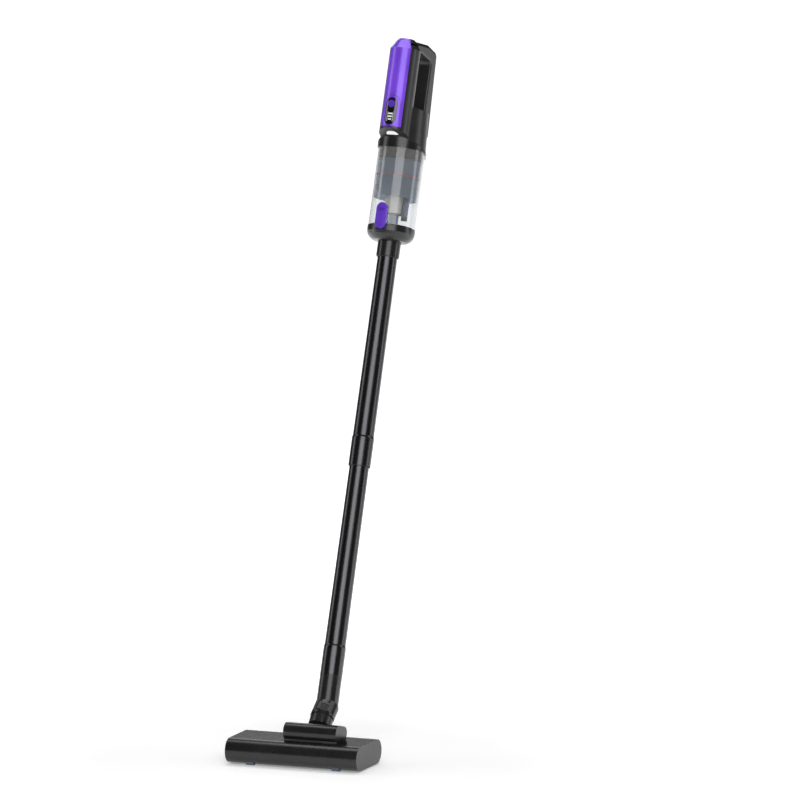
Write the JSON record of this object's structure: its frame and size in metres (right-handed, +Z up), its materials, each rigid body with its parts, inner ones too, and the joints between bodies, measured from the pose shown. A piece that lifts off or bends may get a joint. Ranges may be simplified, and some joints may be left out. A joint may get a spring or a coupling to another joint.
{
  "type": "cordless stick vacuum cleaner",
  "caption": "Upright cordless vacuum: flat roller floor head, swivel neck, two-piece wand, clear cyclone dust cup and hand unit with loop grip.",
  "frame": {"origin": "on the floor under the middle of the head, on the seal lip of its sole", "axes": "+Z up, -Y towards the front of the head, +X to the tool's right; the wand leans back towards +Y"},
  "size_m": [0.23, 0.5381, 1.1346],
  "materials": {
    "black_abs": "semi-gloss",
    "purple_shell": "satin",
    "clear_cup": "clear moulding",
    "tinted_clear": "tinted clear moulding",
    "window": "gloss",
    "white_key": "satin",
    "grey_plastic": "matte",
    "tube_black": "anodised black",
    "rubber": "matte",
    "steel": "turned",
    "metal_grey": "satin",
    "filter_paper": "pleated",
    "red_mark": "matte",
    "bristle": "tufted",
    "roller_blue": "satin",
    "board_green": "lacquered",
    "cell_wrap": "shrink wrap",
    "foam": "open foam"
  },
  "bodies": {
    "main_body": {"housing_left": "black_abs", "housing_right": "black_abs", "front_cover": "purple_shell", "display_window": "window", "battery_cells": "cell_wrap", "battery_cage": "grey_plastic", "control_board": "board_green", "motor": "steel", "motor_mount": "grey_plastic", "exhaust_foam": "foam", "bulkhead": "grey_plastic", "charging_port": "steel"},
    "fan_rotor": {"impeller": "grey_plastic", "motor_shaft": "steel"},
    "power_button": {"power_button": "purple_shell"},
    "cup_release": {"cup_release": "white_key"},
    "dust_cup": {"dust_cup": "clear_cup", "cup_collar": "black_abs", "cup_seal": "rubber", "filter_flange": "metal_grey", "cyclone_shroud": "tinted_clear", "red_ring": "red_mark", "hepa_filter": "filter_paper", "cyclone_plate": "tinted_clear", "filter_core": "filter_paper", "cyclone_tube": "tinted_clear", "tube_tip": "grey_plastic", "lid_hinge_pin": "steel", "latch_pin": "steel"},
    "lid_latch": {"lid_latch": "purple_shell"},
    "cup_lid": {"cup_lid": "black_abs", "inlet_pipe": "grey_plastic", "lid_seal": "rubber"},
    "wand_upper": {"upper_tube": "tube_black"},
    "wand_lower": {"lower_tube": "tube_black"},
    "elbow": {"elbow": "black_abs"},
    "elbow_button": {"elbow_button": "black_abs"},
    "neck": {"neck": "black_abs", "swivel_ring": "rubber"},
    "floor_head": {"head_nose": "black_abs", "head_cover": "black_abs", "head_base": "black_abs", "end_cap_left": "black_abs", "end_cap_right": "black_abs", "hinge_cover": "black_abs", "pivot_pins": "steel", "seal_lip": "rubber", "brush_bearings": "steel", "wheel_axles": "steel", "head_screws": "steel"},
    "brush_roll": {"brush_core": "grey_plastic", "brush_bristles": "bristle"},
    "front_roller_left": {"front_roller_left": "roller_blue"},
    "front_roller_right": {"front_roller_right": "roller_blue"},
    "rear_wheel_left": {"rear_wheel_left": "rubber"},
    "rear_wheel_right": {"rear_wheel_right": "rubber"}
  },
  "joints": [
    {"name": "fan_spin", "type": "hinge", "parent": "main_body", "child": "fan_rotor", "pos_m": [0.025, 0.37846, 0.97202], "axis": [0, 0.3567, 0.9342], "continuous": true},
    {"name": "power_press", "type": "slide", "parent": "main_body", "child": "power_button", "axis": [0.0698, 0.9319, -0.3559], "range_m": [0, 0.001], "stiffness_N_per_m": 800},
    {"name": "cup_release_press", "type": "slide", "parent": "main_body", "child": "cup_release", "axis": [0.0249, 0.6657, 0.7458], "range_m": [0, 0.0015], "stiffness_N_per_m": 800},
    {"name": "cup_pull", "type": "slide", "parent": "main_body", "child": "dust_cup", "axis": [0, -0.3567, -0.9342], "range_m": [0, 0.05]},
    {"name": "latch_rock", "type": "hinge", "parent": "dust_cup", "child": "lid_latch", "pos_m": [0.02194, 0.28842, 0.85869], "axis": [-0.9976, 0.0652, -0.0249], "range_deg": [0, 6], "stiffness_Nm_per_rad": 0.5},
    {"name": "lid_hinge", "type": "hinge", "parent": "dust_cup", "child": "cup_lid", "pos_m": [0.02801, 0.36521, 0.81652], "axis": [0.9976, -0.0652, 0.0249], "range_deg": [0, 75]},
    {"name": "upper_pull", "type": "slide", "parent": "cup_lid", "child": "wand_upper", "axis": [0, -0.3567, -0.9342], "range_m": [0, 0.04]},
    {"name": "lower_pull", "type": "slide", "parent": "wand_upper", "child": "wand_lower", "axis": [0, -0.3567, -0.9342], "range_m": [0, 0.04]},
    {"name": "elbow_pull", "type": "slide", "parent": "wand_lower", "child": "elbow", "axis": [0, -0.3567, -0.9342], "range_m": [0, 0.04]},
    {"name": "catch_press", "type": "slide", "parent": "elbow", "child": "elbow_button", "axis": [-0.2924, 0.5485, -0.7834], "range_m": [0, 0.001], "stiffness_N_per_m": 800},
    {"name": "swivel", "type": "hinge", "parent": "elbow", "child": "neck", "pos_m": [0.025, 0.02011, 0.0746], "axis": [0, 0.6561, 0.7547], "range_deg": [-60, 60]},
    {"name": "pitch", "type": "hinge", "parent": "neck", "child": "floor_head", "pos_m": [0.025, 0.0022, 0.054], "axis": [1, 0, 0], "range_deg": [-30, 20]},
    {"name": "brush_spin", "type": "hinge", "parent": "floor_head", "child": "brush_roll", "pos_m": [0, -0.018, 0.0158], "axis": [1, 0, 0], "continuous": true},
    {"name": "front_roller_left_spin", "type": "hinge", "parent": "floor_head", "child": "front_roller_left", "pos_m": [-0.075, -0.0425, 0.0055], "axis": [1, 0, 0], "continuous": true},
    {"name": "rear_wheel_left_spin", "type": "hinge", "parent": "floor_head", "child": "rear_wheel_left", "pos_m": [-0.084, 0.033, 0.008], "axis": [1, 0, 0], "continuous": true},
    {"name": "front_roller_right_spin", "type": "hinge", "parent": "floor_head", "child": "front_roller_right", "pos_m": [0.075, -0.0425, 0.0055], "axis": [1, 0, 0], "continuous": true},
    {"name": "rear_wheel_right_spin", "type": "hinge", "parent": "floor_head", "child": "rear_wheel_right", "pos_m": [0.084, 0.033, 0.008], "axis": [1, 0, 0], "continuous": true}
  ]
}
